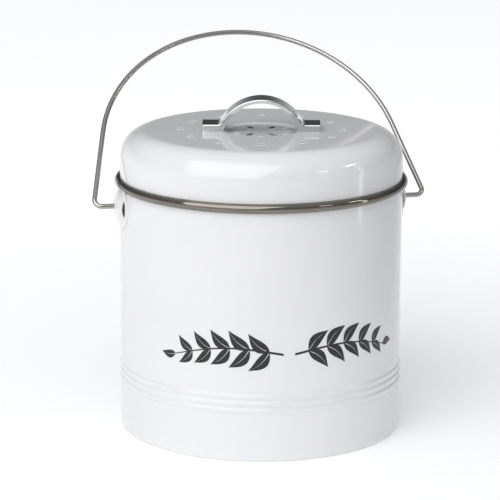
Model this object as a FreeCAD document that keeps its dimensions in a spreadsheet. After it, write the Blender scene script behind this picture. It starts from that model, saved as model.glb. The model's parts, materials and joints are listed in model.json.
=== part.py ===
import FreeCAD, Part
import math
import os
import Sketcher

# Round kitchen compost bin with a vented lift-off lid, a wire bail and a lift-out bucket.
# Millimetres, +Z up, origin at the middle of the foot's rest plane, ears along X, front at -Y.

SIZES = (
    # rolled wall and its turned-in foot
    ("wall_radius", "100"),
    ("wall_sheet", "0.7"),
    ("wall_inner", "=wall_radius - wall_sheet"),
    ("foot_width", "4.5"),
    ("foot_inner", "=wall_radius - foot_width"),
    ("foot_round", "2.4"),
    ("foot_round_in", "=foot_round - wall_sheet"),
    # three pressed beads low on the wall
    ("bead_low", "36.5"),
    ("bead_pitch", "5"),
    ("bead_count", "3"),
    ("bead_run", "=bead_pitch * (bead_count - 1)"),
    ("bead_rise", "0.8"),
    ("bead_half", "2.1"),
    ("bead_curve", "=(bead_half ^ 2 + bead_rise ^ 2) / (2 * bead_rise)"),
    ("bead_curve_in", "=bead_curve - wall_sheet"),
    ("bead_axis", "=wall_radius + bead_rise - bead_curve"),
    ("cut_over", "0.3"),
    ("bead_chord", "=wall_radius - wall_sheet / 2"),
    ("bead_chord_in", "=wall_inner - cut_over"),
    # rim tube rolled over the wall's top edge
    ("rim_tube", "3.4"),
    ("rim_sheet", "0.7"),
    ("rim_tube_in", "=rim_tube - rim_sheet"),
    ("rim_offset", "0.4"),
    ("rim_radius", "=wall_radius + rim_offset"),
    ("rim_height", "178.2"),
    ("rim_top", "=rim_height + rim_tube"),
    ("rim_bottom", "=rim_height - rim_tube"),
    ("rim_mouth", "=rim_radius - rim_tube"),
    ("wall_grip", "2"),
    ("wall_top", "=rim_height + wall_grip"),
    # base pan seated on the foot
    ("base_sheet", "0.6"),
    ("base_lift", "4.4"),
    ("base_top", "=base_lift + base_sheet"),
    ("base_play", "0.3"),
    ("base_edge", "=wall_inner - foot_round_in - base_play"),
    ("base_lip", "3.8"),
    ("base_pan", "=base_edge - base_lip"),
    ("base_pan_in", "=base_pan - base_sheet"),
    ("base_lip_top", "=wall_sheet + base_sheet"),
    ("base_bend", "1.2"),
    # bail: wire, arch, legs and hooks
    ("bail_drop", "12.4"),
    ("bail_height", "=rim_bottom - bail_drop"),
    ("bail_lean_angle", "46"),
    ("wire_radius", "1.75"),
    ("arch_clear", "8.5"),
    ("arch_radius", "=wall_radius + arch_clear"),
    ("arch_centre", "41.8"),
    ("hook_bend", "5"),
    ("hook_flare", "5"),
    ("hook_centre", "=arch_radius + hook_flare"),
    ("hook_off", "1.5"),
    ("hook_end", "=wall_radius + hook_off"),
    ("wire_end_round", "0.5"),
    # pressed dome ears
    ("ear_sheet", "1"),
    ("ear_stand", "5.3"),
    ("ear_dome_half", "17.5"),
    ("ear_dome_tall", "13"),
    ("ear_roll", "=(ear_dome_tall ^ 2 + ear_stand ^ 2) / (2 * ear_stand)"),
    ("ear_axis", "=wall_radius + ear_stand - ear_roll"),
    ("ear_curve", "=(ear_dome_half ^ 2 + ear_stand ^ 2) / (2 * ear_stand)"),
    ("ear_curve_in", "=ear_curve - ear_sheet"),
    ("ear_curve_back", "=ear_curve - ear_roll"),
    ("ear_bridge_half", "13"),
    ("ear_flange_half", "19.5"),
    ("ear_flange_tall", "16.5"),
    ("ear_flange_face", "=wall_radius + ear_sheet"),
    ("ear_under_rim", "0.2"),
    ("ear_top", "=rim_bottom - ear_under_rim"),
    ("ear_run", "0.1"),
    ("ear_hole", "=wire_radius + ear_run"),
    ("ear_block", "=2 * ear_flange_tall"),
    ("ear_block_tall", "=2 * ear_block"),
    ("ear_block_half", "=ear_block_tall / 2"),
    ("ear_block_low", "=bail_height - ear_block_half"),
    # lid shell
    ("lid_turn_angle", "11.5"),
    ("lid_sheet", "0.7"),
    ("lid_radius", "=wall_radius"),
    ("lid_inner", "=lid_radius - lid_sheet"),
    ("lid_rim", "=rim_top"),
    ("lid_rise", "32.3"),
    ("lid_top", "=lid_rim + lid_rise"),
    ("lid_under", "=lid_top - lid_sheet"),
    ("lid_shoulder", "18.7"),
    ("lid_shoulder_in", "=lid_shoulder - lid_sheet"),
    ("dish_edge", "28.5"),
    ("dish_floor", "24.5"),
    ("dish_depth", "1.2"),
    ("dish_top", "=lid_top - dish_depth"),
    ("dish_under", "=lid_under - dish_depth"),
    ("dish_edge_in", "=dish_edge - lid_sheet / 2"),
    ("dish_floor_in", "=dish_floor - lid_sheet / 2"),
    ("dish_round", "1.6"),
    # vents
    ("vent_ring", "57"),
    ("vent_hole", "2.3"),
    ("vent_count", "12"),
    ("slot_near", "12"),
    ("slot_far", "19"),
    ("slot_half", "2.2"),
    ("slot_count", "6"),
    ("flower_ring", "19.6"),
    ("flower_hole", "2"),
    ("flower_angle", "30"),
    ("flower_x", "=flower_ring * cos(flower_angle * 1 deg)"),
    ("flower_y", "=flower_ring * sin(flower_angle * 1 deg)"),
    # stepped plug ring that centres the lid in the rim
    ("plug_sheet", "0.6"),
    ("plug_clear", "0.8"),
    ("plug_radius", "=rim_mouth - plug_clear"),
    ("plug_radius_in", "=plug_radius - plug_sheet"),
    ("plug_drop", "9.6"),
    ("plug_low", "=rim_top - plug_drop"),
    ("plug_step", "1"),
    ("plug_shelf", "=rim_top + plug_step"),
    ("plug_shelf_top", "=plug_shelf + plug_sheet"),
    ("plug_band", "=lid_inner - plug_sheet"),
    ("plug_band_rise", "8"),
    ("plug_high", "=plug_shelf_top + plug_band_rise"),
    # arch handle on the lid
    ("handle_width", "21"),
    ("handle_end", "41.5"),
    ("foot_thick", "5"),
    ("handle_rise", "22.8"),
    ("handle_outer", "33"),
    ("handle_outer_z", "=handle_rise - handle_outer"),
    ("handle_gap", "20.1"),
    ("handle_inner", "28"),
    ("handle_inner_z", "=handle_gap - handle_inner"),
    ("handle_root", "3"),
    ("handle_soft", "0.9"),
    ("screw_spot", "35.5"),
    # handle screws and washers, from below
    ("screw_radius", "2"),
    ("screw_play", "0.05"),
    ("screw_shank", "=screw_radius - screw_play"),
    ("screw_head", "4"),
    ("screw_head_tall", "2.6"),
    ("screw_reach", "3.6"),
    ("screw_depth", "4"),
    ("washer_radius", "5"),
    ("washer_thick", "0.8"),
    ("washer_play", "0.3"),
    ("washer_hole", "=screw_radius + washer_play"),
    ("washer_low", "=lid_under - washer_thick"),
    ("head_low", "=washer_low - screw_head_tall"),
    ("shank_tall", "=lid_top + screw_reach - washer_low"),
    ("cross_long", "4.4"),
    ("cross_wide", "1"),
    ("cross_half_long", "=cross_long / 2"),
    ("cross_half_wide", "=cross_wide / 2"),
    ("cross_deep", "1.5"),
    ("screw_hole_play", "0.2"),
    ("screw_hole", "=screw_radius + screw_hole_play"),
    # filter collar, holder and pad
    ("lid_flat", "=lid_radius - lid_shoulder"),
    ("collar_inset", "5.3"),
    ("collar_edge", "=lid_flat - collar_inset"),
    ("collar_flange", "6"),
    ("collar_radius", "=collar_edge - collar_flange"),
    ("collar_sheet", "0.6"),
    ("collar_inner", "=collar_radius - collar_sheet"),
    ("collar_drop", "14"),
    ("collar_low", "=lid_under - collar_drop"),
    ("collar_flange_low", "=lid_under - collar_sheet"),
    ("holder_run", "0.3"),
    ("holder_radius", "=collar_inner - holder_run"),
    ("holder_wall", "1.6"),
    ("holder_inner", "=holder_radius - holder_wall"),
    ("holder_flange", "2.5"),
    ("holder_inset", "1"),
    ("holder_edge", "=collar_edge - holder_inset"),
    ("holder_low", "=collar_low - holder_flange"),
    ("holder_floor", "2"),
    ("holder_floor_top", "=holder_low + holder_floor"),
    ("holder_tall", "11"),
    ("holder_top", "=collar_low + holder_tall"),
    ("holder_round", "1"),
    ("bar_half", "2.2"),
    ("core_count", "10"),
    ("core_near_share", "0.22"),
    ("core_far_share", "0.5"),
    ("core_near", "=holder_inner * core_near_share"),
    ("core_far", "=holder_inner * core_far_share"),
    ("core_near_half", "=core_near * tan(180 deg / core_count) - bar_half"),
    ("core_far_half", "=core_far * tan(180 deg / core_count) - bar_half"),
    ("grid_count", "18"),
    ("grid_near_share", "0.58"),
    ("grid_far_share", "0.89"),
    ("grid_near", "=holder_inner * grid_near_share"),
    ("grid_far", "=holder_inner * grid_far_share"),
    ("grid_near_half", "=grid_near * tan(180 deg / grid_count) - bar_half"),
    ("grid_far_half", "=grid_far * tan(180 deg / grid_count) - bar_half"),
    ("pull_half_long", "16"),
    ("pull_half_wide", "2"),
    ("pull_deep", "9"),
    ("pull_soft", "1.2"),
    ("pad_play", "0.3"),
    ("pad_radius", "=holder_inner - pad_play"),
    ("pad_thick", "9"),
    ("pad_top", "=holder_floor_top + pad_thick"),
    ("pad_soft", "1.5"),
    # lift-out bucket
    ("bucket_taper", "5.5"),
    ("bucket_step", "4"),
    ("bucket_high_radius", "=bucket_lip - bucket_step"),
    ("bucket_low_radius", "=bucket_high_radius - bucket_taper"),
    ("bucket_wall", "1.8"),
    ("bucket_floor", "2"),
    ("bucket_floor_top", "=base_top + bucket_floor"),
    ("bucket_low_in", "=bucket_low_radius - bucket_wall"),
    ("bucket_high_in", "=bucket_high_radius - bucket_wall"),
    ("bucket_sink", "6.8"),
    ("bucket_top", "=rim_bottom - bucket_sink"),
    ("bucket_lip_thick", "2.2"),
    ("bucket_lip_under", "=bucket_top - bucket_lip_thick"),
    ("bucket_mouth_gap", "1.5"),
    ("bucket_lip", "=rim_mouth - bucket_mouth_gap"),
    ("bucket_lip_wall", "1.4"),
    ("bucket_lip_in", "=bucket_lip - bucket_lip_wall"),
    ("bucket_lip_drop", "7"),
    ("bucket_lip_low", "=bucket_top - bucket_lip_drop"),
    ("bucket_round", "5"),
    ("bucket_round_in", "=bucket_round - bucket_wall"),
    ("tab_half", "17"),
    ("tab_rise", "11"),
    ("tab_top", "=bucket_top + tab_rise"),
    ("tab_root", "0.2"),
    ("tab_low", "=bucket_lip_under + tab_root"),
    ("tab_thick", "2.4"),
    ("tab_face", "=bucket_high_radius - tab_thick"),
    ("tab_round", "8"),
)

EXPORT_FOLDER = "parts"
NEAR = 0.01
START, END, CENTRE = range(1, 4)
UPRIGHT, ACROSS = range(-2, 0)
ORIGIN = ACROSS
FULL_TURN_ANGLE = 360

doc = FreeCAD.newDocument("compost_bin")
sheet = doc.addObject("Spreadsheet::Sheet", "Sizes")
for row, (alias, content) in enumerate(SIZES, 1):
    cell = "B%d" % row
    sheet.set("A%d" % row, alias)
    sheet.set(cell, content)
    sheet.setAlias(cell, alias)
doc.recompute()


def size(alias):
    return float(sheet.get(alias))


def measure(text):
    # value of aliases joined by plus and minus signs
    total = 0.0
    sign = 1.0
    for word in text.split():
        if word == "-":
            sign = -1.0
        elif word == "+":
            sign = 1.0
        else:
            total += sign * size(word)
            sign = 1.0
    return total


def bound(text):
    words = [word if word in "+-" else "Sizes." + word for word in text.split()]
    return " ".join(words)


def tie(target, path, text):
    target.setExpression(path, bound(text))


def new_body(name):
    body = doc.addObject("PartDesign::Body", name)
    body.Label = name
    return body


def origin_plane(body, role):
    for feature in body.Origin.OriginFeatures:
        if feature.Role == role:
            return feature
    raise ValueError(role)


def new_sketch(body, name, role, offset=None):
    sketch = body.newObject("Sketcher::SketchObject", name)
    sketch.AttachmentSupport = [(origin_plane(body, role), "")]
    sketch.MapMode = "FlatFace"
    if offset:
        tie(sketch, "AttachmentOffset.Base.z", offset)
    return sketch


def drive(sketch, kind, references, text):
    # one driven dimension: it starts at the present value and follows the sheet
    value = measure(text)
    number = sketch.addConstraint(Sketcher.Constraint(kind, *references, value))
    tie(sketch, "Constraints[%d]" % number, text)


def pin(sketch, geometry, point, across, up):
    if across == "axis":
        sketch.addConstraint(Sketcher.Constraint("PointOnObject", geometry, point, UPRIGHT))
    else:
        drive(sketch, "DistanceX", (ORIGIN, START, geometry, point), across)
    if up == "axis":
        sketch.addConstraint(Sketcher.Constraint("PointOnObject", geometry, point, ACROSS))
    else:
        drive(sketch, "DistanceY", (ORIGIN, START, geometry, point), up)


def place(text):
    return 0.0 if text == "axis" else measure(text)


def outline(sketch, corners):
    # closed straight-sided outline with every corner tied to the sheet
    spots = [FreeCAD.Vector(place(across), place(up), 0) for across, up in corners]
    count = len(spots)
    for index in range(count):
        sketch.addGeometry(Part.LineSegment(spots[index], spots[(index + 1) % count]), False)
    for index in range(count):
        sketch.addConstraint(Sketcher.Constraint("Coincident", index, END, (index + 1) % count, START))
    for index, (across, up) in enumerate(corners):
        pin(sketch, index, START, across, up)


def circle(sketch, across, up, radius):
    centre = FreeCAD.Vector(place(across), place(up), 0)
    number = sketch.addGeometry(Part.Circle(centre, FreeCAD.Vector(0, 0, 1), measure(radius)), False)
    pin(sketch, number, CENTRE, across, up)
    drive(sketch, "Radius", (number,), radius)


def arc(sketch, centre_x, centre_y, radius, start, end):
    centre = FreeCAD.Vector(centre_x, centre_y, 0)
    full = Part.Circle(centre, FreeCAD.Vector(0, 0, 1), radius)
    return sketch.addGeometry(Part.ArcOfCircle(full, start, end), False)


def line(sketch, start, end):
    return sketch.addGeometry(Part.LineSegment(FreeCAD.Vector(*start, 0), FreeCAD.Vector(*end, 0)), False)


def revolve(body, sketch, name, kind="PartDesign::Revolution"):
    feature = body.newObject(kind, name)
    feature.Profile = sketch
    feature.ReferenceAxis = (sketch, ["V_Axis"])
    feature.Angle = FULL_TURN_ANGLE
    sketch.Visibility = False
    doc.recompute()
    return feature


def turned(name, corners):
    # body of revolution about Z from an outline of radius and height
    body = new_body(name)
    sketch = new_sketch(body, name + "_profile", "XZ_Plane")
    outline(sketch, corners)
    return body, revolve(body, sketch, name + "_turned")


def edges_where(feature, wanted):
    return ["Edge%d" % number for number, edge in enumerate(feature.Shape.Edges, 1) if wanted(edge)]


def is_ring(edge, radius, height):
    if not isinstance(edge.Curve, Part.Circle):
        return False
    same_size = abs(edge.Curve.Radius - radius) < NEAR
    return same_size and abs(edge.Curve.Center.z - height) < NEAR


def soften(body, feature, name, radius, edges):
    fillet = body.newObject("PartDesign::Fillet", name)
    fillet.Base = (feature, edges)
    fillet.Radius = measure(radius)
    tie(fillet, "Radius", radius)
    doc.recompute()
    body.Tip = fillet
    return fillet


def soften_ring(body, feature, name, radius, across, up=""):
    # without a height, the ring lies in the rest plane
    ring_radius = measure(across)
    ring_height = measure(up)
    edges = edges_where(feature, lambda edge: is_ring(edge, ring_radius, ring_height))
    return soften(body, feature, name, radius, edges)


def repeat_round(body, feature, sketch, name, count):
    pattern = body.newObject("PartDesign::PolarPattern", name)
    pattern.Originals = [feature]
    pattern.Axis = (sketch, ["N_Axis"])
    pattern.Angle = FULL_TURN_ANGLE
    tie(pattern, "Occurrences", count)
    body.Tip = pattern
    doc.recompute()
    return pattern


def cut_through(body, sketch, name):
    pocket = body.newObject("PartDesign::Pocket", name)
    pocket.Profile = sketch
    pocket.Type = "ThroughAll"
    pocket.Midplane = True
    sketch.Visibility = False
    body.Tip = pocket
    doc.recompute()
    return pocket


def turn_with_lid(item):
    item.Placement = FreeCAD.Placement(
        FreeCAD.Vector(0, 0, 0), FreeCAD.Rotation(FreeCAD.Vector(0, 0, -1), size("lid_turn_angle")))
    tie(item, "Placement.Rotation.Angle", "lid_turn_angle")


# Rolled wall: straight sheet, foot turned in at the bottom, three pressed beads.
wall, wall_turned = turned("body_wall", (
    ("foot_inner", "axis"),
    ("wall_radius", "axis"),
    ("wall_radius", "wall_top"),
    ("wall_inner", "wall_top"),
    ("wall_inner", "wall_sheet"),
    ("foot_inner", "wall_sheet"),
))


def bead(name, kind, chord, curve):
    # circular segment standing on a chord, turned about Z and repeated up the wall
    sketch = new_sketch(wall, name + "_profile", "XZ_Plane")
    middle = size("bead_low")
    reach = size(curve)
    half_angle = math.acos((size(chord) - size("bead_axis")) / reach)
    rise = reach * math.sin(half_angle)
    bow = arc(sketch, size("bead_axis"), middle, reach, -half_angle, half_angle)
    back = line(sketch, (size(chord), middle + rise), (size(chord), middle - rise))
    sketch.addConstraint(Sketcher.Constraint("Coincident", bow, END, back, START))
    sketch.addConstraint(Sketcher.Constraint("Coincident", back, END, bow, START))
    sketch.addConstraint(Sketcher.Constraint("Vertical", back))
    pin(sketch, bow, CENTRE, "bead_axis", "bead_low")
    drive(sketch, "Radius", (bow,), curve)
    drive(sketch, "DistanceX", (ORIGIN, START, back, START), chord)
    feature = revolve(wall, sketch, name, kind)
    pattern = wall.newObject("PartDesign::LinearPattern", name + "_row")
    pattern.Originals = [feature]
    pattern.Direction = (sketch, ["V_Axis"])
    tie(pattern, "Length", "bead_run")
    tie(pattern, "Occurrences", "bead_count")
    wall.Tip = pattern
    doc.recompute()
    return pattern


wall_foot = soften_ring(wall, wall_turned, "foot_outer_round", "foot_round", "wall_radius")
wall_foot = soften_ring(wall, wall_foot, "foot_inner_round", "foot_round_in", "wall_inner", "wall_sheet")
bead("bead_outside", "PartDesign::Revolution", "bead_chord", "bead_curve")
bead("bead_inside", "PartDesign::Groove", "bead_chord_in", "bead_curve_in")

# Base pan: lip on the foot's upper side, raised floor.
base, base_turned = turned("base_plate", (
    ("axis", "base_lift"),
    ("base_pan_in", "base_lift"),
    ("base_pan_in", "wall_sheet"),
    ("base_edge", "wall_sheet"),
    ("base_edge", "base_lip_top"),
    ("base_pan", "base_lip_top"),
    ("base_pan", "base_top"),
    ("axis", "base_top"),
))
soften_ring(base, base_turned, "base_bend_round", "base_bend", "base_pan", "base_top")

# Rim: tube slit along its underside, the wall's top edge held between the lips.
rim = new_body("rim_ring")
rim_profile = new_sketch(rim, "rim_profile", "XZ_Plane")
rim_centre = (size("rim_radius"), size("rim_height"))


def lip_angle(radius, across):
    return math.acos((measure(across) - rim_centre[0]) / radius)


def lip_spot(radius, across):
    drop = math.sqrt(radius ** 2 - (measure(across) - rim_centre[0]) ** 2)
    return measure(across), rim_centre[1] - drop


tube_out = size("rim_tube")
tube_in = size("rim_tube_in")
skin = arc(rim_profile, *rim_centre, tube_out,
           -lip_angle(tube_out, "wall_radius"), 2 * math.pi - lip_angle(tube_out, "wall_inner"))
bore = arc(rim_profile, *rim_centre, tube_in,
           -lip_angle(tube_in, "wall_radius"), 2 * math.pi - lip_angle(tube_in, "wall_inner"))
lip_out = line(rim_profile, lip_spot(tube_out, "wall_radius"), lip_spot(tube_in, "wall_radius"))
lip_in = line(rim_profile, lip_spot(tube_out, "wall_inner"), lip_spot(tube_in, "wall_inner"))
for first, first_end, second, second_end in (
        (skin, START, lip_out, START), (bore, START, lip_out, END),
        (skin, END, lip_in, START), (bore, END, lip_in, END)):
    rim_profile.addConstraint(Sketcher.Constraint("Coincident", first, first_end, second, second_end))
rim_profile.addConstraint(Sketcher.Constraint("Coincident", skin, CENTRE, bore, CENTRE))
pin(rim_profile, skin, CENTRE, "rim_radius", "rim_height")
drive(rim_profile, "Radius", (skin,), "rim_tube")
drive(rim_profile, "Radius", (bore,), "rim_tube_in")
for lip, face in ((lip_out, "wall_radius"), (lip_in, "wall_inner")):
    rim_profile.addConstraint(Sketcher.Constraint("Vertical", lip))
    drive(rim_profile, "DistanceX", (ORIGIN, START, lip, START), face)
revolve(rim, rim_profile, "rim_turned")


def primitive(kind, name, sizes, spot=None):
    item = doc.addObject(kind, name)
    for path, text in sizes:
        tie(item, path, text)
    if spot:
        for letter, text in zip("xyz", spot):
            if text:
                tie(item, "Placement.Base." + letter, text)
    item.Visibility = False
    return item


def combine(kind, name, shapes):
    item = doc.addObject(kind, name)
    item.Shapes = shapes
    return item


def subtract(name, base_item, tool):
    item = doc.addObject("Part::Cut", name)
    item.Base = base_item
    item.Tool = tool
    item.Label = name
    return item


def mirror_across(name, source):
    item = doc.addObject("Part::Mirroring", name)
    item.Source = source
    item.Normal = FreeCAD.Vector(1, 0, 0)
    item.Base = FreeCAD.Vector(0, 0, 0)
    item.Label = name
    return item


ALONG_X = FreeCAD.Rotation(FreeCAD.Vector(1, 1, 1), 120)

# Ear: pressed dome cut open at both sides, oval flange curved to the wall, hole for the wire.


def barrel(name, curve, half_long):
    # barrel turned about a tangent line inside the wall; its flank is the dome's face
    body = new_body(name)
    sketch = new_sketch(body, name + "_profile", "XY_Plane")
    back = size("ear_curve_back")
    reach = math.asin(size(half_long) / size(curve))
    end_x = size(curve) * math.cos(reach) - back
    end_y = size(half_long)
    flank = arc(sketch, -back, 0, size(curve), -reach, reach)
    far = line(sketch, (end_x, end_y), (0, end_y))
    spine = line(sketch, (0, end_y), (0, -end_y))
    near = line(sketch, (0, -end_y), (end_x, -end_y))
    for first, second in ((flank, far), (far, spine), (spine, near), (near, flank)):
        sketch.addConstraint(Sketcher.Constraint("Coincident", first, END, second, START))
    for level in (far, near):
        sketch.addConstraint(Sketcher.Constraint("Horizontal", level))
    pin(sketch, flank, CENTRE, "- ear_curve_back", "axis")
    drive(sketch, "Radius", (flank,), curve)
    pin(sketch, spine, START, "axis", half_long)
    pin(sketch, spine, END, "axis", "- " + half_long)
    revolve(body, sketch, name + "_turned")
    tie(body, "Placement.Base.x", "ear_axis")
    tie(body, "Placement.Base.z", "bail_height")
    body.Visibility = False
    return body


dome = barrel("ear_dome", "ear_curve", "ear_bridge_half")
oval = primitive("Part::Ellipse", "ear_oval", (
    ("MajorRadius", "ear_flange_half"), ("MinorRadius", "ear_flange_tall")))
oval.Placement = FreeCAD.Placement(FreeCAD.Vector(0, 0, 0), ALONG_X)
tie(oval, "Placement.Base.z", "bail_height")
tie(oval, "Placement.Base.x", "wall_inner - ear_block")
oval_prism = doc.addObject("Part::Extrusion", "ear_oval_prism")
oval_prism.Base = oval
oval_prism.DirMode = "Custom"
oval_prism.Dir = FreeCAD.Vector(1, 0, 0)
oval_prism.Solid = True
tie(oval_prism, "LengthFwd", "ear_block + ear_block")
flange_drum = primitive("Part::Cylinder", "ear_flange_drum", (
    ("Radius", "ear_flange_face"), ("Height", "ear_block_tall")), (None, None, "ear_block_low"))
flange = combine("Part::MultiCommon", "ear_flange", [oval_prism, flange_drum])
ear_solid = combine("Part::MultiFuse", "ear_solid", [dome, flange])
dome_void = barrel("ear_dome_void", "ear_curve_in", "ear_dome_half")
wall_drum = primitive("Part::Cylinder", "ear_wall_drum", (
    ("Radius", "wall_radius"), ("Height", "ear_block_tall")), (None, None, "ear_block_low"))
wire_bore = primitive("Part::Cylinder", "ear_wire_bore", (
    ("Radius", "ear_hole"), ("Height", "ear_block")))
wire_bore.Placement = FreeCAD.Placement(FreeCAD.Vector(0, 0, 0), ALONG_X)
tie(wire_bore, "Placement.Base.x", "wall_radius")
tie(wire_bore, "Placement.Base.z", "bail_height")
rim_space = primitive("Part::Box", "ear_rim_space", (
    ("Length", "ear_block_tall"), ("Width", "ear_block_tall"), ("Height", "ear_block")),
    ("wall_inner - ear_block", "- ear_block_half", "ear_top"))
ear_cuts = combine("Part::MultiFuse", "ear_cuts", [dome_void, wall_drum, wire_bore, rim_space])
ear_right = subtract("ear_right", ear_solid, ear_cuts)
ear_left = mirror_across("ear_left", ear_right)
doc.recompute()

# Bail: hooks, slanted legs and arch in one plane through the ears' axis, leaning back.
bail = new_body("bail_wire")
bail_path = new_sketch(bail, "bail_path", "XZ_Plane")
hook_x = size("hook_centre")
hook_r = size("hook_bend")
arch_r = size("arch_radius")
arch_z = size("arch_centre")
between = math.hypot(hook_x, hook_r - arch_z)
leg = math.atan2(hook_r - arch_z, hook_x) + math.acos((arch_r - hook_r) / between)
leg_low = (hook_x + hook_r * math.cos(leg), hook_r + hook_r * math.sin(leg))
leg_high = (arch_r * math.cos(leg), arch_z + arch_r * math.sin(leg))
stub_right = line(bail_path, (size("hook_end"), 0), (hook_x, 0))
bend_right = arc(bail_path, hook_x, hook_r, hook_r, -math.pi / 2, leg)
leg_right = line(bail_path, leg_low, leg_high)
arch = arc(bail_path, 0, arch_z, arch_r, leg, math.pi - leg)
leg_left = line(bail_path, (-leg_high[0], leg_high[1]), (-leg_low[0], leg_low[1]))
bend_left = arc(bail_path, -hook_x, hook_r, hook_r, math.pi - leg, 3 * math.pi / 2)
stub_left = line(bail_path, (-hook_x, 0), (-size("hook_end"), 0))
run = (stub_right, bend_right, leg_right, arch, leg_left, bend_left, stub_left)
for first, second in zip(run, run[1:]):
    bail_path.addConstraint(Sketcher.Constraint("Tangent", first, END, second, START))
pin(bail_path, arch, CENTRE, "axis", "arch_centre")
drive(bail_path, "Radius", (arch,), "arch_radius")
for stub in (stub_right, stub_left):
    for end in (START, END):
        bail_path.addConstraint(Sketcher.Constraint("PointOnObject", stub, end, ACROSS))
drive(bail_path, "DistanceX", (ORIGIN, START, stub_right, START), "hook_end")
drive(bail_path, "DistanceX", (stub_left, END, ORIGIN, START), "hook_end")
for bend in (bend_right, bend_left):
    drive(bail_path, "Radius", (bend,), "hook_bend")
drive(bail_path, "DistanceX", (ORIGIN, START, bend_right, CENTRE), "hook_centre")
drive(bail_path, "DistanceX", (bend_left, CENTRE, ORIGIN, START), "hook_centre")
wire_section = new_sketch(bail, "wire_section", "YZ_Plane", "hook_end")
circle(wire_section, "axis", "axis", "wire_radius")
doc.recompute()
wire = bail.newObject("PartDesign::AdditivePipe", "wire")
wire.Profile = wire_section
wire.Spine = (bail_path, ["Edge%d" % number for number in range(1, len(run) + 1)])
bail.Tip = wire
doc.recompute()
wire_ends = edges_where(wire, lambda edge: isinstance(edge.Curve, Part.Circle)
                        and abs(abs(edge.Curve.Center.x) - size("hook_end")) < NEAR)
soften(bail, wire, "wire_ends", "wire_end_round", wire_ends)
bail.Placement = FreeCAD.Placement(
    FreeCAD.Vector(0, 0, size("bail_height")),
    FreeCAD.Rotation(FreeCAD.Vector(-1, 0, 0), size("bail_lean_angle")))
tie(bail, "Placement.Base.z", "bail_height")
tie(bail, "Placement.Rotation.Angle", "bail_lean_angle")

# Lid shell: drawn cap with a rounded shoulder, a dished middle and punched vents.
lid, lid_turned = turned("lid_shell", (
    ("lid_radius", "lid_rim"),
    ("lid_radius", "lid_top"),
    ("dish_edge", "lid_top"),
    ("dish_floor", "dish_top"),
    ("axis", "dish_top"),
    ("axis", "dish_under"),
    ("dish_floor_in", "dish_under"),
    ("dish_edge_in", "lid_under"),
    ("lid_inner", "lid_under"),
    ("lid_inner", "lid_rim"),
))
lid_step = soften_ring(lid, lid_turned, "shoulder_outside", "lid_shoulder", "lid_radius", "lid_top")
lid_step = soften_ring(lid, lid_step, "shoulder_inside", "lid_shoulder_in", "lid_inner", "lid_under")
lid_step = soften_ring(lid, lid_step, "dish_edge_soft", "dish_round", "dish_edge", "lid_top")
lid_step = soften_ring(lid, lid_step, "dish_floor_soft", "dish_round", "dish_floor", "dish_top")
vent_sketch = new_sketch(lid, "vent_sketch", "XY_Plane", "lid_top")
circle(vent_sketch, "vent_ring", "axis", "vent_hole")
vent = cut_through(lid, vent_sketch, "vent")
repeat_round(lid, vent, vent_sketch, "vent_row", "vent_count")
slot_sketch = new_sketch(lid, "slot_sketch", "XY_Plane", "lid_top")
slot_r = size("slot_half")
slot_parts = (
    arc(slot_sketch, size("slot_far"), 0, slot_r, -math.pi / 2, math.pi / 2),
    line(slot_sketch, (size("slot_far"), slot_r), (size("slot_near"), slot_r)),
    arc(slot_sketch, size("slot_near"), 0, slot_r, math.pi / 2, 3 * math.pi / 2),
    line(slot_sketch, (size("slot_near"), -slot_r), (size("slot_far"), -slot_r)),
)
for first, second in zip(slot_parts, slot_parts[1:] + slot_parts[:1]):
    slot_sketch.addConstraint(Sketcher.Constraint("Tangent", first, END, second, START))
pin(slot_sketch, slot_parts[0], CENTRE, "slot_far", "axis")
pin(slot_sketch, slot_parts[2], CENTRE, "slot_near", "axis")
drive(slot_sketch, "Radius", (slot_parts[0],), "slot_half")
drive(slot_sketch, "Radius", (slot_parts[2],), "slot_half")
slot = cut_through(lid, slot_sketch, "slot")
repeat_round(lid, slot, slot_sketch, "slot_flower", "slot_count")
flower_sketch = new_sketch(lid, "flower_sketch", "XY_Plane", "lid_top")
circle(flower_sketch, "flower_x", "flower_y", "flower_hole")
flower = cut_through(lid, flower_sketch, "flower_vent")
repeat_round(lid, flower, flower_sketch, "flower_ring_row", "slot_count")
screw_sketch = new_sketch(lid, "screw_sketch", "XY_Plane", "lid_top")
circle(screw_sketch, "screw_spot", "axis", "screw_hole")
screw_pass = cut_through(lid, screw_sketch, "screw_pass")
screw_pair = lid.newObject("PartDesign::Mirrored", "screw_pass_pair")
screw_pair.Originals = [screw_pass]
screw_pair.MirrorPlane = (screw_sketch, ["V_Axis"])
lid.Tip = screw_pair
turn_with_lid(lid)
doc.recompute()

# Plug ring: band against the skirt's inside, shelf over the rim, plug down into the mouth.
turned("lid_plug_ring", (
    ("lid_inner", "plug_high"),
    ("lid_inner", "plug_shelf"),
    ("plug_radius", "plug_shelf"),
    ("plug_radius", "plug_low"),
    ("plug_radius_in", "plug_low"),
    ("plug_radius_in", "plug_shelf_top"),
    ("plug_band", "plug_shelf_top"),
    ("plug_band", "plug_high"),
))

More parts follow.
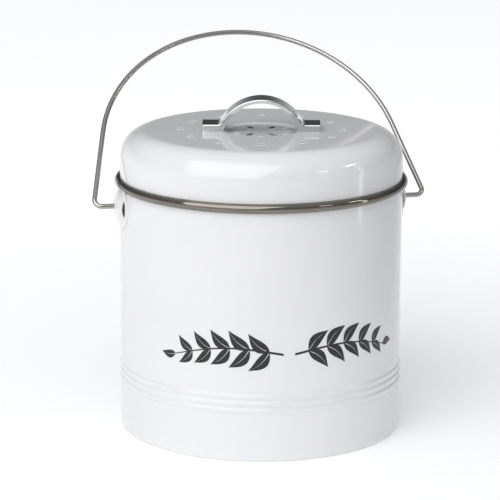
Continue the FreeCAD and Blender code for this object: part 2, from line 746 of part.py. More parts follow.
# Lid handle: arch between two flat feet, thicker at the legs than at the crown.
handle = new_body("lid_handle")
handle_sketch = new_sketch(handle, "handle_outline", "XZ_Plane")
crown_r = size("handle_outer")
crown_z = size("handle_outer_z")
inner_r = size("handle_inner")
inner_z = size("handle_inner_z")
foot_z = size("foot_thick")
end_x = size("handle_end")
crown_foot = math.sqrt(crown_r ** 2 - (foot_z - crown_z) ** 2)
inner_foot = math.sqrt(inner_r ** 2 - inner_z ** 2)
crown_angle = math.atan2(foot_z - crown_z, crown_foot)
inner_angle = math.atan2(-inner_z, inner_foot)
crown = arc(handle_sketch, 0, crown_z, crown_r, crown_angle, math.pi - crown_angle)
under = arc(handle_sketch, 0, inner_z, inner_r, inner_angle, math.pi - inner_angle)
right_sole = line(handle_sketch, (inner_foot, 0), (end_x, 0))
right_end = line(handle_sketch, (end_x, 0), (end_x, foot_z))
right_top = line(handle_sketch, (end_x, foot_z), (crown_foot, foot_z))
left_top = line(handle_sketch, (-crown_foot, foot_z), (-end_x, foot_z))
left_end = line(handle_sketch, (-end_x, foot_z), (-end_x, 0))
left_sole = line(handle_sketch, (-end_x, 0), (-inner_foot, 0))
for first, first_end, second, second_end in (
        (under, START, right_sole, START), (right_sole, END, right_end, START),
        (right_end, END, right_top, START), (right_top, END, crown, START),
        (crown, END, left_top, START), (left_top, END, left_end, START),
        (left_end, END, left_sole, START), (left_sole, END, under, END)):
    handle_sketch.addConstraint(Sketcher.Constraint("Coincident", first, first_end, second, second_end))
for level in (right_top, left_top):
    handle_sketch.addConstraint(Sketcher.Constraint("Horizontal", level))
    drive(handle_sketch, "DistanceY", (ORIGIN, START, level, START), "foot_thick")
for level in (right_sole, left_sole):
    for end in (START, END):
        handle_sketch.addConstraint(Sketcher.Constraint("PointOnObject", level, end, ACROSS))
for upright in (right_end, left_end):
    handle_sketch.addConstraint(Sketcher.Constraint("Vertical", upright))
drive(handle_sketch, "DistanceX", (ORIGIN, START, right_end, START), "handle_end")
drive(handle_sketch, "DistanceX", (left_end, START, ORIGIN, START), "handle_end")
pin(handle_sketch, crown, CENTRE, "axis", "handle_outer_z")
pin(handle_sketch, under, CENTRE, "axis", "handle_inner_z")
drive(handle_sketch, "Radius", (crown,), "handle_outer")
drive(handle_sketch, "Radius", (under,), "handle_inner")
handle_pad = handle.newObject("PartDesign::Pad", "handle_strap")
handle_pad.Profile = handle_sketch
handle_pad.Midplane = True
tie(handle_pad, "Length", "handle_width")
doc.recompute()


def runs_across(edge, across, up):
    # straight edge along Y at the given distance either side of the middle and at the given height
    ends = edge.Vertexes
    return isinstance(edge.Curve, Part.Line) and abs(ends[0].X - ends[-1].X) < NEAR and all(
        abs(abs(end.X) - across) < NEAR and abs(end.Z - up) < NEAR for end in ends)


def at_root(edge):
    return runs_across(edge, crown_foot, foot_z)


def on_side(edge):
    half = size("handle_width") / 2
    ends = edge.Vertexes
    flat = all(abs(abs(end.Y) - half) < NEAR for end in ends) and abs(ends[0].Y - ends[-1].Y) < NEAR
    return flat and max(end.Z for end in ends) > NEAR


handle_root = soften(handle, handle_pad, "handle_roots", "handle_root", edges_where(handle_pad, at_root))
soften(handle, handle_root, "handle_edges", "handle_soft", edges_where(handle_root, on_side))
thread_sketch = new_sketch(handle, "thread_sketch", "XY_Plane")
circle(thread_sketch, "screw_spot", "axis", "screw_radius")
thread = handle.newObject("PartDesign::Pocket", "thread_hole")
thread.Profile = thread_sketch
thread.Reversed = True
tie(thread, "Length", "screw_depth")
handle.Tip = thread
doc.recompute()
thread_pair = handle.newObject("PartDesign::Mirrored", "thread_pair")
thread_pair.Originals = [thread]
thread_pair.MirrorPlane = (thread_sketch, ["V_Axis"])
handle.Tip = thread_pair
turn_with_lid(handle)
tie(handle, "Placement.Base.z", "lid_top")
doc.recompute()

# Screws up into the handle's feet, each with a cross recess and a washer.
screw_head = primitive("Part::Cylinder", "screw_head", (
    ("Radius", "screw_head"), ("Height", "screw_head_tall")), ("screw_spot", None, "head_low"))
screw_shank = primitive("Part::Cylinder", "screw_shank", (
    ("Radius", "screw_shank"), ("Height", "shank_tall")), ("screw_spot", None, "washer_low"))
screw_solid = combine("Part::MultiFuse", "screw_solid", [screw_head, screw_shank])
cross_one = primitive("Part::Box", "cross_one", (
    ("Length", "cross_long"), ("Width", "cross_wide"), ("Height", "cross_deep")),
    ("screw_spot - cross_half_long", "- cross_half_wide", "head_low"))
cross_two = primitive("Part::Box", "cross_two", (
    ("Length", "cross_wide"), ("Width", "cross_long"), ("Height", "cross_deep")),
    ("screw_spot - cross_half_wide", "- cross_half_long", "head_low"))
cross = combine("Part::MultiFuse", "screw_cross", [cross_one, cross_two])
screw_one = subtract("screw_one", screw_solid, cross)
screw_two = mirror_across("screw_two", screw_one)
handle_screws = doc.addObject("Part::Compound", "handle_screws")
handle_screws.Links = [screw_one, screw_two]
turn_with_lid(handle_screws)
washer_disc = primitive("Part::Cylinder", "washer_disc", (
    ("Radius", "washer_radius"), ("Height", "washer_thick")), ("screw_spot", None, "washer_low"))
washer_bore = primitive("Part::Cylinder", "washer_bore", (
    ("Radius", "washer_hole"), ("Height", "washer_thick")), ("screw_spot", None, "washer_low"))
washer_one = subtract("washer_one", washer_disc, washer_bore)
washer_two = mirror_across("washer_two", washer_one)
handle_washers = doc.addObject("Part::Compound", "handle_washers")
handle_washers.Links = [washer_one, washer_two]
turn_with_lid(handle_washers)
doc.recompute()

# Filter collar under the lid's flat top.
turned("filter_collar", (
    ("collar_inner", "collar_low"),
    ("collar_radius", "collar_low"),
    ("collar_radius", "collar_flange_low"),
    ("collar_edge", "collar_flange_low"),
    ("collar_edge", "lid_under"),
    ("collar_inner", "lid_under"),
))

# Filter holder: cup that pushes into the collar, barred floor, pull bar below.
holder, holder_turned = turned("filter_holder", (
    ("axis", "holder_low"),
    ("holder_edge", "holder_low"),
    ("holder_edge", "collar_low"),
    ("holder_radius", "collar_low"),
    ("holder_radius", "holder_top"),
    ("holder_inner", "holder_top"),
    ("holder_inner", "holder_floor_top"),
    ("axis", "holder_floor_top"),
))
soften_ring(holder, holder_turned, "holder_edge_soft", "holder_round", "holder_edge", "holder_low")
for row in ("core", "grid"):
    row_sketch = new_sketch(holder, row + "_sketch", "XY_Plane", "holder_low")
    outline(row_sketch, (
        (row + "_near", "- %s_near_half" % row),
        (row + "_far", "- %s_far_half" % row),
        (row + "_far", row + "_far_half"),
        (row + "_near", row + "_near_half"),
    ))
    opening = cut_through(holder, row_sketch, row + "_opening")
    repeat_round(holder, opening, row_sketch, row + "_openings", row + "_count")
pull_sketch = new_sketch(holder, "pull_sketch", "XY_Plane", "holder_low")
outline(pull_sketch, (
    ("- pull_half_long", "- pull_half_wide"),
    ("pull_half_long", "- pull_half_wide"),
    ("pull_half_long", "pull_half_wide"),
    ("- pull_half_long", "pull_half_wide"),
))
pull = holder.newObject("PartDesign::Pad", "pull_bar")
pull.Profile = pull_sketch
pull.Reversed = True
tie(pull, "Length", "pull_deep")
holder.Tip = pull
doc.recompute()
pull_low = measure("holder_low - pull_deep")
soften(holder, pull, "pull_soft_edges", "pull_soft", edges_where(
    pull, lambda edge: all(abs(end.Z - pull_low) < NEAR for end in edge.Vertexes)))
turn_with_lid(holder)

# Charcoal pad lying in the holder.
pad, pad_turned = turned("charcoal_pad", (
    ("axis", "holder_floor_top"),
    ("pad_radius", "holder_floor_top"),
    ("pad_radius", "pad_top"),
    ("axis", "pad_top"),
))
soften_ring(pad, pad_turned, "pad_edge_soft", "pad_soft", "pad_radius", "pad_top")

# Lift-out bucket: tapered wall, turned-down lip, two pinch tabs on the lip.
bucket, bucket_turned = turned("inner_bucket", (
    ("axis", "base_top"),
    ("bucket_low_radius", "base_top"),
    ("bucket_high_radius", "bucket_lip_under"),
    ("bucket_lip_in", "bucket_lip_under"),
    ("bucket_lip_in", "bucket_lip_low"),
    ("bucket_lip", "bucket_lip_low"),
    ("bucket_lip", "bucket_top"),
    ("bucket_high_in", "bucket_top"),
    ("bucket_low_in", "bucket_floor_top"),
    ("axis", "bucket_floor_top"),
))
bucket_step = soften_ring(bucket, bucket_turned, "bucket_heel", "bucket_round", "bucket_low_radius",
                          "base_top")
bucket_step = soften_ring(bucket, bucket_step, "bucket_corner", "bucket_round_in", "bucket_low_in",
                          "bucket_floor_top")
tab_sketch = new_sketch(bucket, "tab_sketch", "XZ_Plane", "tab_face")
outline(tab_sketch, (
    ("- tab_half", "tab_low"),
    ("tab_half", "tab_low"),
    ("tab_half", "tab_top"),
    ("- tab_half", "tab_top"),
))
tab = bucket.newObject("PartDesign::Pad", "pinch_tab")
tab.Profile = tab_sketch
tie(tab, "Length", "tab_thick")
bucket.Tip = tab
doc.recompute()
tab_pair = bucket.newObject("PartDesign::Mirrored", "pinch_tabs")
tab_pair.Originals = [tab]
tab_pair.MirrorPlane = (origin_plane(bucket, "XZ_Plane"), [""])
bucket.Tip = tab_pair
doc.recompute()


def at_tab_corner(edge):
    return runs_across(edge, size("tab_half"), size("tab_top"))


soften(bucket, tab_pair, "tab_corners", "tab_round", edges_where(tab_pair, at_tab_corner))
doc.recompute()

NODES = (
    "body_wall", "base_plate", "rim_ring", "ear_left", "ear_right", "bail_wire", "lid_shell",
    "lid_plug_ring", "lid_handle", "handle_screws", "handle_washers", "filter_collar",
    "filter_holder", "charcoal_pad", "inner_bucket",
)
for item in doc.Objects:
    if "Invalid" in item.State or "Error" in item.State:
        raise RuntimeError("%s: %s" % (item.Name, item.State))
os.makedirs(EXPORT_FOLDER, exist_ok=True)
for node in NODES:
    shape = doc.getObject(node).Shape
    if shape.isNull() or not shape.isValid():
        raise RuntimeError("bad shape: " + node)
    print("%-16s solids %d volume %.1f box %s" % (node, len(shape.Solids), shape.Volume, shape.BoundBox))
    shape.exportStep(os.path.join(EXPORT_FOLDER, node + ".step"))
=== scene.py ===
import json
import math

import bmesh
import bpy
from mathutils import Matrix, Vector


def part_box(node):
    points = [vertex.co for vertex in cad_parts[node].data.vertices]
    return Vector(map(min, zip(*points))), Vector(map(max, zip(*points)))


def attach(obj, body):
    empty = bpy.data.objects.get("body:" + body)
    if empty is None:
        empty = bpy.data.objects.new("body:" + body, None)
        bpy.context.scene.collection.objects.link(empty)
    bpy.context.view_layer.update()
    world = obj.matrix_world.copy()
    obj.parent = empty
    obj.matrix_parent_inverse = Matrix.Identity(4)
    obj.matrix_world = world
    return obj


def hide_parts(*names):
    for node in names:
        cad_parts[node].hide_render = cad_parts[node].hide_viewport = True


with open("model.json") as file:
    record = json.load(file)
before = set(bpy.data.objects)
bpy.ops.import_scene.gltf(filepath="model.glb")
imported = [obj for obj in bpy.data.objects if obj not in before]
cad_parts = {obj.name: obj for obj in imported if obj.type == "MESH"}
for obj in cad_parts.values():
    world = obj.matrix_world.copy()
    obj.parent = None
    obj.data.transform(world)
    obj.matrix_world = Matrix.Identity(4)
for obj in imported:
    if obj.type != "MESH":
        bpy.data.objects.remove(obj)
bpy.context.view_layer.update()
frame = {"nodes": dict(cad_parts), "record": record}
nodes = frame["nodes"]
scene = bpy.context.scene

# Lengths in metres. These repeat the part's source.
WALL_RADIUS = 0.100
LID_TURN = math.radians(-11.5)
VENT_RING, VENT_HOLE, VENT_COUNT = 0.057, 0.0023, 12
FLOWER_RING, FLOWER_HOLE, FLOWER_COUNT = 0.0196, 0.0020, 6
SLOT_NEAR, SLOT_FAR, SLOT_HALF = 0.012, 0.019, 0.0022
DISH_DEPTH = 0.0012

# Leaf print
PRINT_LIFT, PRINT_FILM = 0.00012, 0.0001
SAME_POINT = 0.000001
TWIG_START, TWIG_REACH, TWIG_STEPS = 0.004, 0.078, 40
TWIG_HEIGHT, TWIG_ARCH, TWIG_FALL = 0.0765, 0.006, 0.004
TWIG_HALF, TWIG_TAPER = 0.0008, 0.6
LEAF_LENGTH, LEAF_WIDTH, LEAF_STEPS = 0.0195, 0.0046, 14
LEAF_SLANT, LEAF_BOW, LEAF_TAPER = math.radians(42.0), 0.10, 0.25
RIB_SHARE, RIB_TAPER = 0.06, 0.9
LEAF_PAIRS = ((5, 1.0), (12, 1.0), (19, 0.94), (26, 0.85), (33, 0.74))  # step on the twig, size
TIP_LENGTH, TIP_WIDTH = 0.012, 0.0032

# Beads on the vents
BEAD_INSET, BEAD_WIDTH, BEAD_FACETS = 0.0001, 0.00035, 10
HOLE_BEAD, SLOT_BEAD = 0.0003, 0.0001
HOLE_STEPS, SLOT_END_STEPS = 28, 14

# Charcoal felt: its profile is in shares of its radius and of its thickness
PAD_AROUND, PAD_SLACK, PAD_PRESSED = 96, 0.0004, 0.98
PAD_FRAY, PAD_DIMPLE = 0.004, 0.02
PAD_PROFILE = ((0.0, 0.0), (0.35, 0.0), (0.7, 0.0), (0.92, 0.0), (0.975, 0.05), (0.995, 0.25), (1.0, 0.5),
               (0.993, 0.78), (0.97, 0.93), (0.92, 0.985), (0.7, 0.97), (0.35, 0.985), (0.0, 1.0))

# Directions in the studio, as seen from the camera
RIGHTWARD = Vector((0.956, -0.292, 0.0))
FRONTWARD = Vector((-0.199, -0.980, 0.0))
KEYWARD = Vector((-0.45, -0.87, 0.2)).normalized()

# Camera, fitted to a picture of IMAGE x IMAGE pixels
FOCAL_PIXELS, IMAGE, ASIDE_PIXELS = 2578.5, 500, 11.05
TURN, PITCH, ROLL = math.radians(11.5), 0.232533, 0.0043726
YAW = math.atan(ASIDE_PIXELS / FOCAL_PIXELS)
DISTANCE, HEIGHT = 1.7887, 0.5499
SENSOR_MM, FARTHEST = 36.0, 50.0

# Materials


class Graph:
    """Shader nodes in one tree, with helpers that work out values from the place of a point."""

    def __init__(self, tree, space):
        self.nodes, self.links = tree.nodes, tree.links
        self.place = self.nodes.new("ShaderNodeTexCoord").outputs[space]

    def parts(self):
        node = self.nodes.new("ShaderNodeSeparateXYZ")
        self.links.new(self.place, node.inputs[0])
        return node.outputs

    def math(self, operation, first, second):
        node = self.nodes.new("ShaderNodeMath")
        node.operation = operation
        for socket, value in zip(node.inputs, (first, second)):
            if isinstance(value, (int, float)):
                socket.default_value = value
            else:
                self.links.new(value, socket)
        return node.outputs[0]

    def measure(self, operation, direction=(0, 0, 0)):
        node = self.nodes.new("ShaderNodeVectorMath")
        node.operation = operation
        node.inputs[1].default_value = direction
        self.links.new(self.place, node.inputs[0])
        return node.outputs["Value"]

    def spread(self, value, low, high, start=0.3, stop=0.7):
        # low at start, high at stop, and even between them
        node = self.nodes.new("ShaderNodeMapRange")
        for socket, number in zip(node.inputs[1:5], (start, stop, low, high)):
            socket.default_value = number
        self.links.new(value, node.inputs[0])
        return node.outputs[0]


class Surface(Graph):
    """A Principled material whose sockets are fed from procedural textures."""

    def __init__(self, name, base, rough, metal=0.0, **sockets):
        self.material = bpy.data.materials.new(name)
        self.material.use_nodes = True
        super().__init__(self.material.node_tree, "Object")
        self.shader = self.nodes["Principled BSDF"]
        self.shader.inputs["Base Color"].default_value = (*base, 1.0)
        self.shader.inputs["Roughness"].default_value = rough
        self.shader.inputs["Metallic"].default_value = metal
        for socket, value in sockets.items():
            self.shader.inputs[socket.replace("_", " ")].default_value = value

    def stretched(self, scale):
        mapping = self.nodes.new("ShaderNodeMapping")
        mapping.inputs["Scale"].default_value = scale
        self.links.new(self.place, mapping.inputs["Vector"])
        return mapping.outputs["Vector"]

    def round_about_z(self, around, across):
        # streaks that run round the axis: radius and height change fast, angle slowly
        parts = self.parts()
        flat = self.nodes.new("ShaderNodeVectorMath")
        flat.operation = "MULTIPLY"
        flat.inputs[1].default_value = (1, 1, 0)
        self.links.new(self.place, flat.inputs[0])
        radius = self.nodes.new("ShaderNodeVectorMath")
        radius.operation = "LENGTH"
        self.links.new(flat.outputs[0], radius.inputs[0])
        angle = self.math("ARCTAN2", parts["Y"], parts["X"])
        joined = self.nodes.new("ShaderNodeCombineXYZ")
        self.links.new(self.math("MULTIPLY", angle, around), joined.inputs["X"])
        self.links.new(self.math("MULTIPLY", radius.outputs["Value"], across), joined.inputs["Y"])
        self.links.new(self.math("MULTIPLY", parts["Z"], across), joined.inputs["Z"])
        return joined.outputs[0]

    def noise(self, where, scale, detail=4.0, rough=0.55):
        node = self.nodes.new("ShaderNodeTexNoise")
        node.inputs["Scale"].default_value = scale
        node.inputs["Detail"].default_value = detail
        node.inputs["Roughness"].default_value = rough
        self.links.new(where, node.inputs["Vector"])
        return node.outputs["Fac"]

    def tint(self, value, dark, light, start=0.3, stop=0.7):
        ramp = self.nodes.new("ShaderNodeValToRGB")
        ends = ramp.color_ramp.elements
        ends[0].position, ends[1].position = start, stop
        ends[0].color, ends[1].color = (*dark, 1.0), (*light, 1.0)
        self.links.new(value, ramp.inputs[0])
        self.links.new(ramp.outputs[0], self.shader.inputs["Base Color"])

    def rough(self, value, low, high):
        self.links.new(self.spread(value, low, high), self.shader.inputs["Roughness"])

    def bump(self, value, strength, depth):
        node = self.nodes.new("ShaderNodeBump")
        node.inputs["Strength"].default_value = strength
        node.inputs["Distance"].default_value = depth
        self.links.new(value, node.inputs["Height"])
        self.links.new(node.outputs[0], self.shader.inputs["Normal"])


def coat(name):
    # sprayed gloss coat: faint orange peel, faint drift of tone and gloss
    made = Surface(name, base=(0.86, 0.86, 0.86), rough=0.08, Coat_Weight=0.2, Coat_Roughness=0.03)
    made.tint(made.noise(made.place, scale=14.0), dark=(0.84, 0.84, 0.853), light=(0.87, 0.868, 0.875))
    made.rough(made.noise(made.place, scale=45.0), low=0.09, high=0.13)
    made.bump(made.noise(made.place, scale=420.0, detail=2.0), strength=0.03, depth=0.0002)
    return made.material


def polished(name, dark, light, rough_low, rough_high, around):
    # steel polished on a lathe: fine streaks round the axis
    made = Surface(name, base=light, rough=rough_low, metal=1.0)
    grain = made.noise(made.round_about_z(around, across=2600.0), scale=1.0, detail=5.0)
    made.tint(grain, dark, light)
    made.rough(grain, rough_low, rough_high)
    made.bump(grain, strength=0.03, depth=0.0001)
    return made.material


def chrome(name):
    # plated strap: a trace of haze, drawn out along it
    made = Surface(name, base=(0.63, 0.633, 0.64), rough=0.05, metal=1.0)
    haze = made.noise(made.stretched((150.0, 900.0, 900.0)), scale=1.0, detail=5.0)
    made.tint(haze, dark=(0.60, 0.603, 0.61), light=(0.66, 0.662, 0.667))
    made.rough(haze, low=0.04, high=0.075)
    made.bump(haze, strength=0.008, depth=0.00005)
    return made.material


def drawn_wire(name):
    # wire pulled through a die: fine scratches
    made = Surface(name, base=(0.45, 0.43, 0.405), rough=0.13, metal=1.0)
    scratch = made.noise(made.stretched((500.0, 1500.0, 500.0)), scale=1.0, detail=5.0)
    made.tint(scratch, dark=(0.385, 0.365, 0.34), light=(0.435, 0.415, 0.39))
    made.rough(scratch, low=0.13, high=0.17)
    made.bump(scratch, strength=0.003, depth=0.0001)
    return made.material


def moulded(name, dark, light, rough_low, rough_high):
    # plastic with a fine spark-eroded grain
    made = Surface(name, base=light, rough=rough_low)
    made.tint(made.noise(made.place, scale=35.0), dark, light)
    grain = made.noise(made.place, scale=1800.0, detail=3.0)
    made.rough(grain, rough_low, rough_high)
    made.bump(grain, strength=0.12, depth=0.0003)
    return made.material


def felt(name):
    made = Surface(name, base=(0.02, 0.02, 0.02), rough=0.95, Sheen_Weight=0.25, Sheen_Roughness=0.5)
    fibre = made.noise(made.place, scale=900.0, detail=8.0, rough=0.75)
    made.tint(fibre, dark=(0.008, 0.008, 0.008), light=(0.045, 0.044, 0.043))
    made.rough(fibre, low=0.88, high=1.0)
    made.bump(fibre, strength=0.8, depth=0.0012)
    return made.material


def print_ink(name):
    made = Surface(name, base=(0.012, 0.012, 0.013), rough=0.3)
    speck = made.noise(made.place, scale=900.0, detail=3.0)
    made.tint(speck, dark=(0.008, 0.008, 0.009), light=(0.022, 0.022, 0.023))
    made.rough(speck, low=0.24, high=0.38)
    return made.material


looks = {
    "white_coat": coat("white_coat"),
    "lid_coat": coat("lid_coat"),
    "rim_steel": polished("rim_steel", (0.17, 0.155, 0.135), (0.27, 0.25, 0.22), 0.03, 0.07, 5.0),
    "bail_steel": drawn_wire("bail_steel"),
    "handle_chrome": chrome("handle_chrome"),
    "inner_steel": polished("inner_steel", (0.52, 0.52, 0.52), (0.68, 0.68, 0.68), 0.24, 0.36, 6.0),
    "filter_plastic": moulded("filter_plastic", (0.028, 0.028, 0.03), (0.05, 0.05, 0.053), 0.42, 0.56),
    "bucket_plastic": moulded("bucket_plastic", (0.34, 0.38, 0.33), (0.40, 0.44, 0.38), 0.38, 0.5),
    "charcoal": felt("charcoal"),
}
for part in frame["record"]["subparts"]:
    for holder in nodes[part["node"]].material_slots:
        holder.material = looks[part["material_slot"]]

# Pieces


def add_piece(name, shape, body, material, smooth=True):
    mesh = bpy.data.meshes.new(name)
    shape.to_mesh(mesh)
    shape.free()
    piece = bpy.data.objects.new(name, mesh)
    scene.collection.objects.link(piece)
    mesh.materials.append(material)
    for face in mesh.polygons:
        face.use_smooth = smooth
    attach(piece, body)
    return piece


def on_wall(along, height):
    # point on the front of the wall: distance along the girth from the middle, and height
    angle = along / WALL_RADIUS
    radius = WALL_RADIUS + PRINT_LIFT
    return Vector((radius * math.sin(angle), -radius * math.cos(angle), height))


def strip(shape, rows):
    # band of quads between paired edge points, wrapped on the wall
    last = None
    for left, right in rows:
        pair = [shape.verts.new(on_wall(*left)), shape.verts.new(on_wall(*right))]
        if last:
            shape.faces.new((last[0], last[1], pair[1], pair[0]))
        last = pair


def leaf(shape, root, angle, length, width):
    # pointed leaf in two halves with a bare midrib
    ahead = (math.cos(angle), math.sin(angle))
    side = (-ahead[1], ahead[0])
    for half in (1.0, -1.0):
        rows = []
        for step in range(LEAF_STEPS + 1):
            share = step / LEAF_STEPS
            belly = width * math.sin(math.pi * share ** 0.8) * (1.0 - LEAF_TAPER * share)
            rib = RIB_SHARE * width * (1.0 - RIB_TAPER * share)
            bow = LEAF_BOW * length * math.sin(math.pi * share)
            spot = [root[i] + ahead[i] * length * share + side[i] * bow for i in (0, 1)]
            near = [spot[i] + side[i] * half * rib for i in (0, 1)]
            far = [spot[i] + side[i] * half * max(belly, rib) for i in (0, 1)]
            rows.append((near, far) if half > 0 else (far, near))
        strip(shape, rows)


def sprig(shape, way):
    # one bent twig with leaves in pairs that shrink towards the tip
    path, rows = [], []
    for step in range(TWIG_STEPS + 1):
        share = step / TWIG_STEPS
        along = way * (TWIG_START + TWIG_REACH * share)
        height = TWIG_HEIGHT + TWIG_ARCH * math.sin(math.pi * share) - TWIG_FALL * share
        half = TWIG_HALF * (1.0 - TWIG_TAPER * share)
        path.append((along, height))
        rows.append(((along, height - half), (along, height + half)))
    strip(shape, rows if way > 0 else [(high, low) for low, high in rows])
    for step, size in LEAF_PAIRS:
        for slant in (LEAF_SLANT, -LEAF_SLANT):
            angle = slant if way > 0 else math.pi - slant
            leaf(shape, path[step], angle, LEAF_LENGTH * size, LEAF_WIDTH * size)
    leaf(shape, path[-1], 0.0 if way > 0 else math.pi, TIP_LENGTH, TIP_WIDTH)


ornament = bmesh.new()
sprig(ornament, 1.0)
sprig(ornament, -1.0)
bmesh.ops.remove_doubles(ornament, verts=ornament.verts, dist=SAME_POINT)
for face in ornament.faces:
    face.normal_update()
    spot = face.calc_center_median()
    if face.normal.dot(Vector((spot.x, spot.y, 0.0))) < 0:
        face.normal_flip()
ornament_piece = add_piece("leaf_print", ornament, "bin", print_ink("print_ink"), smooth=False)
film = ornament_piece.modifiers.new("film", "SOLIDIFY")
film.thickness = PRINT_FILM
film.offset = -1.0


def bead(shape, arcs, hole, level, height):
    # closed bead round one hole, along arcs of (distance from the axis, bearing, first, last, steps)
    loops = []
    for distance, bearing, first, last, steps in arcs:
        centre = Vector((distance * math.cos(bearing), distance * math.sin(bearing), level))
        for step in range(steps):
            angle = bearing + first + (last - first) * step / (steps - 1)
            loop = []
            for facet in range(BEAD_FACETS):
                turn = 2 * math.pi * facet / BEAD_FACETS
                out = hole + BEAD_INSET + BEAD_WIDTH * math.cos(turn)
                offset = Vector((out * math.cos(angle), out * math.sin(angle), height * math.sin(turn)))
                loop.append(shape.verts.new(centre + offset))
            loops.append(loop)
    for loop, after in zip(loops, loops[1:] + loops[:1]):
        for facet in range(BEAD_FACETS):
            beside = (facet + 1) % BEAD_FACETS
            shape.faces.new((loop[facet], after[facet], after[beside], loop[beside]))


# Rounded beads of coat on the edges of the punched vents: a ring, and slots and holes in the dish
lid_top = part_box("lid_shell")[1].z
dish_top = lid_top - DISH_DEPTH
full_turn = (0.0, 2 * math.pi * (HOLE_STEPS - 1) / HOLE_STEPS, HOLE_STEPS)
outer_end = (-math.pi / 2, math.pi / 2, SLOT_END_STEPS)
inner_end = (math.pi / 2, 3 * math.pi / 2, SLOT_END_STEPS)
edges = bmesh.new()
for count in range(VENT_COUNT):
    bearing = LID_TURN + 2 * math.pi * count / VENT_COUNT
    bead(edges, [(VENT_RING, bearing, *full_turn)], VENT_HOLE, lid_top, HOLE_BEAD)
for count in range(FLOWER_COUNT):
    bearing = LID_TURN + 2 * math.pi * count / FLOWER_COUNT
    ends = [(SLOT_FAR, bearing, *outer_end), (SLOT_NEAR, bearing, *inner_end)]
    bead(edges, ends, SLOT_HALF, dish_top, SLOT_BEAD)
    bearing += math.pi / FLOWER_COUNT
    bead(edges, [(FLOWER_RING, bearing, *full_turn)], FLOWER_HOLE, dish_top, HOLE_BEAD)
bmesh.ops.recalc_face_normals(edges, faces=edges.faces)
add_piece("vent_beads", edges, "lid", looks["lid_coat"])

# Charcoal felt in the filter: softly crowned disc with a slightly uneven edge
pad_low, pad_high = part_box("charcoal_pad")
pad_radius = (pad_high.x - pad_low.x) / 2 - PAD_SLACK
pad_thick = pad_high.z - pad_low.z
pad = bmesh.new()
rings = []
for share, rise in PAD_PROFILE:
    if share == 0.0:
        rings.append([pad.verts.new((0, 0, pad_low.z + rise * pad_thick))])
        continue
    on_top = rise > 0.5 and share < 0.95
    ring = []
    for step in range(PAD_AROUND):
        angle = 2 * math.pi * step / PAD_AROUND
        waver = 1.0 - PAD_FRAY * (1 + math.sin(5 * angle) * math.cos(11 * angle + 3 * rise)) * share
        radius = pad_radius * share * waver
        dimple = PAD_DIMPLE * pad_thick * math.sin(7 * angle + 9 * share) * on_top
        ring.append(pad.verts.new((radius * math.cos(angle), radius * math.sin(angle),
                                   pad_low.z + rise * pad_thick * PAD_PRESSED + dimple)))
    rings.append(ring)
for low, high in zip(rings, rings[1:]):
    for step in range(PAD_AROUND):
        after = (step + 1) % PAD_AROUND
        if len(low) == 1:
            pad.faces.new((low[0], high[after], high[step]))
        elif len(high) == 1:
            pad.faces.new((low[step], low[after], high[0]))
        else:
            pad.faces.new((low[step], low[after], high[after], high[step]))
bmesh.ops.recalc_face_normals(pad, faces=pad.faces)
pad_piece = add_piece("charcoal_felt", pad, "filter", looks["charcoal"])
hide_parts("charcoal_pad")

# Floor: pale paper, lit from below further out so that the backdrop stays pale behind the object,
# but less so on the right and in front
floor_mesh = bpy.data.meshes.new("floor")
floor_mesh.from_pydata([(-6, -6, 0), (6, -6, 0), (6, 8, 0), (-6, 8, 0)], [], [(0, 1, 2, 3)])
floor = bpy.data.objects.new("floor", floor_mesh)
scene.collection.objects.link(floor)
paper = Surface("floor_paper", base=(0.93, 0.93, 0.93), rough=0.9, Emission_Color=(1, 1, 1, 1))
paper.tint(paper.noise(paper.place, scale=3.0), dark=(0.925, 0.925, 0.925), light=(0.935, 0.935, 0.935))
outward = paper.spread(paper.measure("LENGTH"), low=0.22, high=0.50, start=0.15, stop=0.8)
right_dim = paper.spread(paper.measure("DOT_PRODUCT", RIGHTWARD), low=1.0, high=0.0, start=0.17, stop=0.60)
front_dim = paper.spread(paper.measure("DOT_PRODUCT", FRONTWARD), low=1.0, high=0.0, start=0.18, stop=0.60)
paper_glow = paper.math("MULTIPLY", outward, paper.math("MULTIPLY", right_dim, front_dim))
paper.links.new(paper_glow, paper.shader.inputs["Emission Strength"])
floor_mesh.materials.append(paper.material)


def soft_box(name, spot, aim, width, height, power, spread=180.0):
    # area light at a spot, turned to the point on the axis at height aim
    light = bpy.data.lights.new(name, "AREA")
    light.shape = "RECTANGLE"
    light.size, light.size_y = width, height
    light.energy = power
    light.spread = math.radians(spread)
    box = bpy.data.objects.new(name, light)
    box.location = spot
    box.rotation_euler = (Vector((0, 0, aim)) - Vector(spot)).to_track_quat("-Z", "Y").to_euler()
    box.visible_camera = False
    scene.collection.objects.link(box)
    return box


# The key and a weak top light shade the object
for box in (soft_box("key_left", (-0.99, -1.31, 1.62), 0.15, 1.7, 1.7, 25.0),
            soft_box("top_box", (0.05, 0.06, 1.35), 0.2, 0.3, 0.3, 0.08, 50.0)):
    box.visible_glossy = False
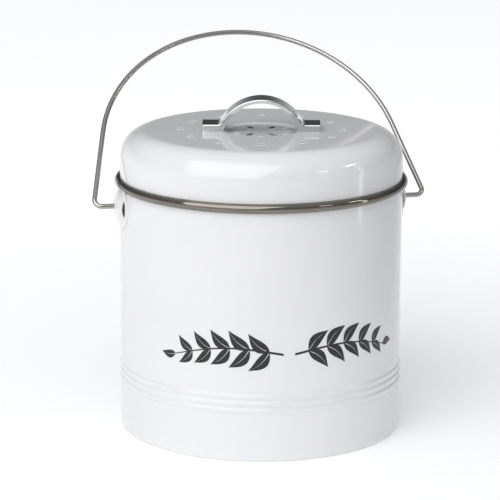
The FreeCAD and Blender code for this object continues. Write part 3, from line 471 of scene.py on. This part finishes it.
# A broad sheen, two small glints and an upright strip are seen in the gloss only
for box in (soft_box("key_sheen", (-1.10, -1.22, 1.62), 0.15, 2.6, 2.6, 42.0),
            soft_box("glint_near", (1.16, -1.335, 1.03), 0.15, 0.34, 0.10, 0.9),
            soft_box("glint_far", (1.71, -0.56, 1.20), 0.15, 0.40, 0.09, 1.5),
            soft_box("strip_right", (0.707, -0.25, 0.26), 0.26, 0.06, 0.5, 0.20)):
    box.visible_diffuse = False

# Studio round the object: brighter towards the key and overhead, with a pale backdrop low down
# that is brightest on the left
world = bpy.data.worlds.new("studio")
world.use_nodes = True
studio = Graph(world.node_tree, "Generated")
rise = studio.parts()["Z"]
key_side = studio.spread(studio.measure("DOT_PRODUCT", KEYWARD), low=0.06, high=0.29, start=-0.8, stop=1.0)
overhead = studio.spread(rise, low=0.0, high=0.46, start=0.2, stop=1.0)
left_side = studio.spread(studio.measure("DOT_PRODUCT", RIGHTWARD), low=1.0, high=0.0, start=-0.48, stop=-0.24)
screen = studio.math("MULTIPLY", studio.spread(rise, low=0.9, high=0.0, start=0.05, stop=0.25), left_side)
backdrop = studio.math("MAXIMUM", screen, studio.spread(rise, low=0.50, high=0.0, start=0.04, stop=0.20))
studio_glow = studio.math("MAXIMUM", studio.math("ADD", key_side, overhead), backdrop)
background = studio.nodes["Background"]
studio.links.new(studio_glow, background.inputs["Strength"])
background.inputs["Color"].default_value = (0.955, 0.965, 1.0, 1.0)
scene.world = world
scene.view_settings.view_transform = "Standard"

# Camera
lens = bpy.data.cameras.new("camera")
lens.sensor_width = SENSOR_MM
lens.lens = FOCAL_PIXELS / IMAGE * SENSOR_MM
lens.clip_end = FARTHEST
camera = bpy.data.objects.new("camera", lens)
heading = TURN - YAW
ahead = Vector((math.sin(heading) * math.cos(PITCH), math.cos(heading) * math.cos(PITCH), -math.sin(PITCH)))
right = ahead.cross(Vector((0, 0, 1))).normalized()
up = right.cross(ahead)
rolled_right = right * math.cos(ROLL) + up * math.sin(ROLL)
rolled_up = up * math.cos(ROLL) - right * math.sin(ROLL)
pose = Matrix((rolled_right, rolled_up, -ahead)).transposed().to_4x4()
pose.translation = (-DISTANCE * math.sin(TURN), -DISTANCE * math.cos(TURN), HEIGHT)
camera.matrix_world = pose
scene.collection.objects.link(camera)
scene.camera = camera
